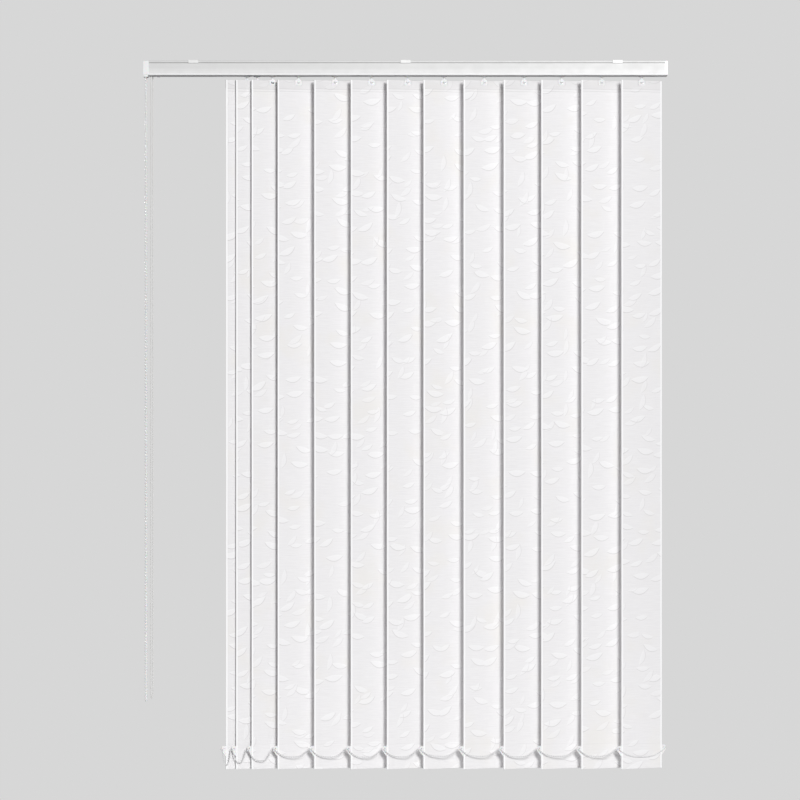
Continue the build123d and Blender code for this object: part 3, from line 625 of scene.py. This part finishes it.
# the chain's line lies in front of the weight's face by half a bead and a small gap
WEIGHT_HALF = 0.5 * mm
BEAD_FORWARD = 1.7 * mm
BEAD_Y = -EAR_TIP * math.sin(TILT) - WEIGHT_HALF * math.cos(TILT) - BEAD_FORWARD
for number in range(1, SLATS):
    start_x = truck_x[number - 1] - EAR_TIP * math.cos(TILT) + SPAN_JOINT / 2
    width = truck_x[number] - truck_x[number - 1] - SPAN_JOINT
    sag = SPAN_SAGS[number - 1] * mm
    route = [(start_x + share * width, BEAD_Y, EAR_HOLE_Z + drop * sag) for share, drop in SPAN_ROUTE]
    span, path = bead_chain(f"beads_{number:02d}", route, (0, 1, 0), BEAD_D, BEAD_PITCH, BEAD_THREAD)
    finish_with(span, "bead_chain_plastic")
    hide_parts(f"chain_span_{number:02d}")
    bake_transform(span)

route = []
for share, drop in SPAN_ROUTE:
    u = (2 * share - 1) * (EAR_TIP - LAST_END_GAP)
    x = truck_x[-1] + u * math.cos(TILT) - LAST_FORWARD * math.sin(TILT)
    route.append((x, u * math.sin(TILT) + LAST_FORWARD * math.cos(TILT), EAR_HOLE_Z + drop * LAST_SAG))
flat_normal = (-math.sin(TILT), math.cos(TILT), 0)
span, path = bead_chain("beads_13", route, flat_normal, BEAD_D, BEAD_PITCH, BEAD_THREAD)
finish_with(span, "bead_chain_plastic")
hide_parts("chain_span_13")
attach(span, "slat_13_body")

# ---- tilt chain: over the sprocket, down and back -------------------------------------------
CHAIN_D = 4.3 * mm
BALL_PITCH = 6.0 * mm
BALL_THREAD = 1.5 * mm
CHAIN_X = -518.0
route = [
    (CHAIN_X, -9.15, -9.0),
    (CHAIN_X, -18.0, -9.0),
    (CHAIN_X, -18.0, -34.8),
    (CHAIN_X, -18.0, -1219.35),
    (CHAIN_X, -20.0, -1265.35),
    (CHAIN_X, -15.0, -1279.35),
    (CHAIN_X, -3.0, -1279.35),
    (CHAIN_X, 2.0, -1265.35),
    (CHAIN_X, 0.0, -1219.35),
    (CHAIN_X, 0.0, -34.8),
    (CHAIN_X, 0.0, -9.0),
    (CHAIN_X, -8.85, -9.0),
]
route = (np.array(route) * mm).tolist()
ball_chain, path = bead_chain("ball_chain", route, (1, 0, 0), CHAIN_D, BALL_PITCH, BALL_THREAD)
finish_with(ball_chain, "tilt_chain_plastic")
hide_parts("tilt_chain")
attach(ball_chain, "headrail_body")

# ---- traverse cord: along the headrail, down, back up and round the return pulley -----------
CORD_D = 2.2 * mm
route = [
    (-317.3, -5.0, -10.5),
    (-496.0, -5.0, -10.5),
    (-509.2, -5.0, -10.5),
    (-509.2, -5.0, -23.7),
    (-509.2, -5.0, -1215.4),
    (-509.2, -7.0, -1263.4),
    (-508.2, -2.0, -1275.4),
    (-506.6, 2.0, -1275.4),
    (-505.6, 7.0, -1263.4),
    (-505.6, 5.0, -1215.4),
    (-505.6, 5.0, -23.7),
    (-505.6, 5.0, -10.5),
    (-492.4, 5.0, -10.5),
    (496.8, 5.0, -10.5),
    (510.0, 5.0, -10.5),
    (510.0, -5.0, -10.5),
    (496.8, -5.0, -10.5),
    (-317.0, -5.0, -10.5),
]
route = (np.array(route) * mm).tolist()
points, tangents, stations = along(route_line("cord_route", route), 1.0 * mm)
SIDES = 12
BRAID_TWIST = 1200.0
angles = np.linspace(0.0, 2 * math.pi, SIDES, endpoint=False)
twist = stations[:, None] * BRAID_TWIST
ridges = np.maximum(np.cos(4 * angles + twist), np.cos(4 * angles - twist))
cord_points, cord_faces = tube(points, tangents, (1, 1, 1), CORD_D / 2 * (0.95 + 0.05 * ridges), SIDES)
cord = mesh_object("pull_cord", cord_points, cord_faces)
add_uv(cord, "cord", np.tile(angles / (2 * math.pi), len(points)), np.repeat(stations, SIDES))
outward(cord)
finish_with(cord, "traverse_cord_braid")
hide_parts("traverse_cord")
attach(cord, "headrail_body")

# ---- slats: one strip of cloth each, folded back into a pocket at both ends, all in mm -------
FRONT_N = -0.925
TOP_BACK_N = 0.925
FOOT_BACK_N = 1.525
TAIL_N = -0.475
TOP_POCKET = 18.0
FOOT_POCKET = 50.0
NOTCH_HALF = 7.0
NOTCH_DEPTH = 10.0
NOTCH_CORNER = 3.0
NOTCH_FADE = 6.0
SEAM_DROPS = (18.0, 22.5)
SEAM_HALF = 0.5
SEAM_DEPTH = 0.13
LENGTH = 1376.0
BOW = 0.7
RIPPLE = 0.16
RIPPLE_LENGTH = 310.0
ROLL = 0.22
ROLL_START = 42.3
EDGE_START = 40.4
EDGE_FADE = 1.8


def fold(front_n, back_n, edge, inward, height, count=9):
    """Half a rounded box from the back layer to the front one: |x/a|^4 + |y/b|^4 = 1."""
    a = np.linspace(0.0, math.pi, count)
    middle, half = (front_n + back_n) / 2, (back_n - front_n) / 2
    n = middle + half * np.sign(np.cos(a)) * np.sqrt(np.abs(np.cos(a)))
    rise = height * np.sqrt(np.sin(a))
    return np.stack([n, edge + inward * (height - rise)], axis=-1)


def slat_profile():
    """The strip's middle line as (n, depth below the slat's top), from the top tail to the bottom."""
    half_cloth = 0.225
    top_tail = [(TAIL_N, 19.4), (TAIL_N, 18.6), (TAIL_N + 0.1, 18.1), (0.3, 17.2), (TOP_BACK_N, 16.6)]
    top_back = np.array([(TOP_BACK_N, d) for d in (15.0, 12.5, NOTCH_DEPTH, 6.5, 4.0, 2.2)])
    top_fold = fold(FRONT_N, TOP_BACK_N, half_cloth, 1, 0.9)
    drops = [2.2, 4.0, 6.5, NOTCH_DEPTH, 12.5, 15.0, 16.8, 17.5, 18.0, 18.5, 19.2]
    drops += [21.3, 22.0, 22.5, 23.0, 23.7, 30.0]
    drops += np.linspace(42.0, LENGTH - 60.0, 104).tolist()
    drops += [LENGTH - d for d in (54.0, 51.0, 50.5, 50.0, 49.5, 49.0, 40.0, 25.0, 12.0, 5.0, 2.4)]
    front = np.array([(FRONT_N, d) for d in drops])
    foot_fold = fold(FRONT_N, FOOT_BACK_N, LENGTH - half_cloth, -1, 1.0)[::-1]
    foot_back = np.array([(FOOT_BACK_N, LENGTH - d) for d in (2.4, 5.0, 12.0, 25.0, 40.0, 46.9)])
    foot_tail = np.array([(0.6, 48.2), (TAIL_N + 0.1, 49.8), (TAIL_N, 50.6), (TAIL_N, 51.6)])
    foot_tail[:, 1] = LENGTH - foot_tail[:, 1]
    return np.concatenate([top_tail, top_back, top_fold, front, foot_fold, foot_back, foot_tail])


def slat_mesh(number):
    """A strip swept across the slat's width: (u, n, depth) with a notch, seams and a painted highlight mask
    at its sealed edges.

    The cloth bows towards the room by BOW (1 - (u / half width)^2) between its pockets, and its outer
    2 mm roll forward a little. The notch's lower corners are arcs in its bottom row.
    """
    profile = slat_profile()
    half = SLAT_WIDTH / mm / 2
    right = [0.0, 4.0, 5.2, 6.2, NOTCH_HALF, 9.0, 13.0, 18.0, 24.0, 30.0, 36.0, 40.2, 41.3, 42.4, 43.4]
    right = np.array([*right, half])
    columns = np.concatenate([-right[:0:-1], right])
    u, depth = np.meshgrid(columns, profile[:, 1])
    n = np.repeat(profile[:, :1], len(columns), axis=1)
    reach = np.abs(u)
    arc = np.sqrt(np.clip(NOTCH_CORNER**2 - (reach - NOTCH_HALF + NOTCH_CORNER) ** 2, 0.0, None))
    lift = np.where(reach < NOTCH_HALF - NOTCH_CORNER, 0.0, NOTCH_CORNER - arc)
    fade = np.clip(1 - (reach - NOTCH_HALF) / NOTCH_FADE, 0, 1)
    lift = np.where(reach > NOTCH_HALF, NOTCH_CORNER * fade, lift)
    lift = np.minimum(lift, NOTCH_CORNER - 0.1)
    depth = depth - np.where(np.abs(depth - NOTCH_DEPTH) < 0.01, lift, 0.0)
    free = np.clip((depth - 24.0) / 60.0, 0, 1) * np.clip((LENGTH - 52.0 - depth) / 60.0, 0, 1)
    free = free * free * (3 - 2 * free)
    bow = BOW * (1 - (u / half) ** 2) * free
    ripple = RIPPLE * np.sin(2 * math.pi * depth / RIPPLE_LENGTH + 0.04 * u) * free
    roll = ROLL * np.clip((reach - ROLL_START) / (half - ROLL_START), 0, 1) ** 2 * free
    dents = sum(np.exp(-(((depth - d) / SEAM_HALF) ** 2)) for d in SEAM_DROPS)
    foot_dent = 0.3 * np.exp(-(((depth - LENGTH + FOOT_POCKET) / SEAM_HALF) ** 2))
    on_front = np.abs(n - FRONT_N) < 0.01
    n = n - bow - ripple - roll + np.where(on_front, SEAM_DEPTH * (dents + foot_dent), 0.0)
    x = truck_x[number - 1] / mm + u * math.cos(TILT) - n * math.sin(TILT)
    y = u * math.sin(TILT) + n * math.cos(TILT)
    points = np.stack([x, y, SLAT_TOP / mm - depth], axis=-1) * mm
    rows, across = u.shape
    faces = grid_faces(rows, across)
    corner_u = np.abs(u.reshape(-1)[faces]).max(axis=1)
    corner_depth = np.broadcast_to(profile[:, 1:], u.shape).reshape(-1)[faces].max(axis=1)
    faces = faces[(corner_u > NOTCH_HALF + 0.01) | (corner_depth > NOTCH_DEPTH + 0.01)]
    slat = mesh_object(f"cloth_slat_{number:02d}", points, [faces[:, ::-1]])
    step = np.linalg.norm(np.diff(profile, axis=0), axis=1)
    travelled = np.repeat(np.concatenate([[0.0], np.cumsum(step)])[:, None], across, axis=1)
    add_uv(slat, "cloth", (u * mm + 0.137 * number).ravel(), (-travelled * mm + 0.291 * number).ravel())
    # mask for the painted highlight along each long edge
    edge = np.clip((reach - EDGE_START) / EDGE_FADE, 0, 1)
    seam = np.where(on_front, np.clip(dents + foot_dent, 0, 1), 0.0)
    pocket = np.clip((TOP_POCKET + 0.5 - depth) / 1.0, 0, 1)
    for label, values in (("sealed_edge_highlight", edge), ("welded_seam", seam), ("pocket", pocket)):
        attribute = slat.data.attributes.new(label, "FLOAT", "POINT")
        attribute.data.foreach_set("value", values.astype(np.float32).ravel())
    return slat


def drop_loose(obj):
    """Removes the points that no face uses."""
    work = bmesh.new()
    work.from_mesh(obj.data)
    bmesh.ops.delete(work, geom=[v for v in work.verts if not v.link_faces], context="VERTS")
    work.to_mesh(obj.data)
    work.free()


for number in range(1, SLATS + 1):
    slat = slat_mesh(number)
    drop_loose(slat)
    wall = slat.modifiers.new("thickness", "SOLIDIFY")
    wall.thickness = CLOTH
    wall.offset = 0.0
    finish_with(slat, "slat_cloth")
    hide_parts(f"slat_{number:02d}")
    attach(slat, f"slat_{number:02d}_body")

# ---- stage: a pale floor that fades into the studio's own pale surround ----------------------
FLOOR_Z = -1.75
FLOOR_RADIUS = 2.0
ring_r = np.linspace(0.0, FLOOR_RADIUS, 12)[:, None]
ring_a = np.linspace(0.0, 2 * math.pi, 64, endpoint=False)[None, :]
floor_points = np.stack(
    np.broadcast_arrays(ring_r * np.cos(ring_a), ring_r * np.sin(ring_a), FLOOR_Z), axis=-1
)
floor = mesh_object("floor", floor_points, [grid_faces(12, 64, wrap=True)[:, ::-1]])
# the paint fades out before the rim and isn't there from below
material, n, shader = new_material("floor_paint")
place = n.add("ShaderNodeTexCoord").outputs["Object"]
n.feed(shader, "Base Color", n.mix(n.noise(place, 2.0), (0.79, 0.79, 0.79, 1), (0.81, 0.81, 0.81, 1)))
away = n.vector("LENGTH", n.vector("MULTIPLY", place, (1.0, 1.0, 0.0)))
from_above = n.math("SUBTRACT", 1.0, n.add("ShaderNodeNewGeometry").outputs["Backfacing"])
n.feed(shader, "Alpha", n.math("MULTIPLY", n.ramp(away, FLOOR_RADIUS, 0.4 * FLOOR_RADIUS), from_above))
shader.inputs["Roughness"].default_value = 0.95
floor.data.materials.append(material)


def soft_light(name, place, aim, size, power):
    """A square area light at a place, turned to face a point."""
    data = bpy.data.lights.new(name, "AREA")
    data.size = size
    data.energy = power
    light = bpy.data.objects.new(name, data)
    light.location = place
    away = np.array(place) - np.array(aim)
    light.rotation_euler = (math.acos(away[2] / np.linalg.norm(away)), 0, math.atan2(away[0], -away[1]))
    scene.collection.objects.link(light)


MIDDLE = (0, 0, -0.7)
soft_light("key", (1.65, -6.5, 1.1), MIDDLE, 1.5, 368.0)
soft_light("fill", (2.5, -5.0, 2.5), MIDDLE, 2.5, 22.0)
soft_light("back", (-2.6, 3.6, 1.6), MIDDLE, 2.2, 165.0)
world = bpy.data.worlds.new("studio")
world.use_nodes = True
n = Nodes(world.node_tree)
LIGHTING, SURROUND = (0.15, 0.15, 0.158, 1), (0.68, 0.68, 0.68, 1)
seen = n.add("ShaderNodeLightPath").outputs["Is Camera Ray"]
n.feed(world.node_tree.nodes["Background"], "Color", n.mix(seen, LIGHTING, SURROUND))
scene.world = world
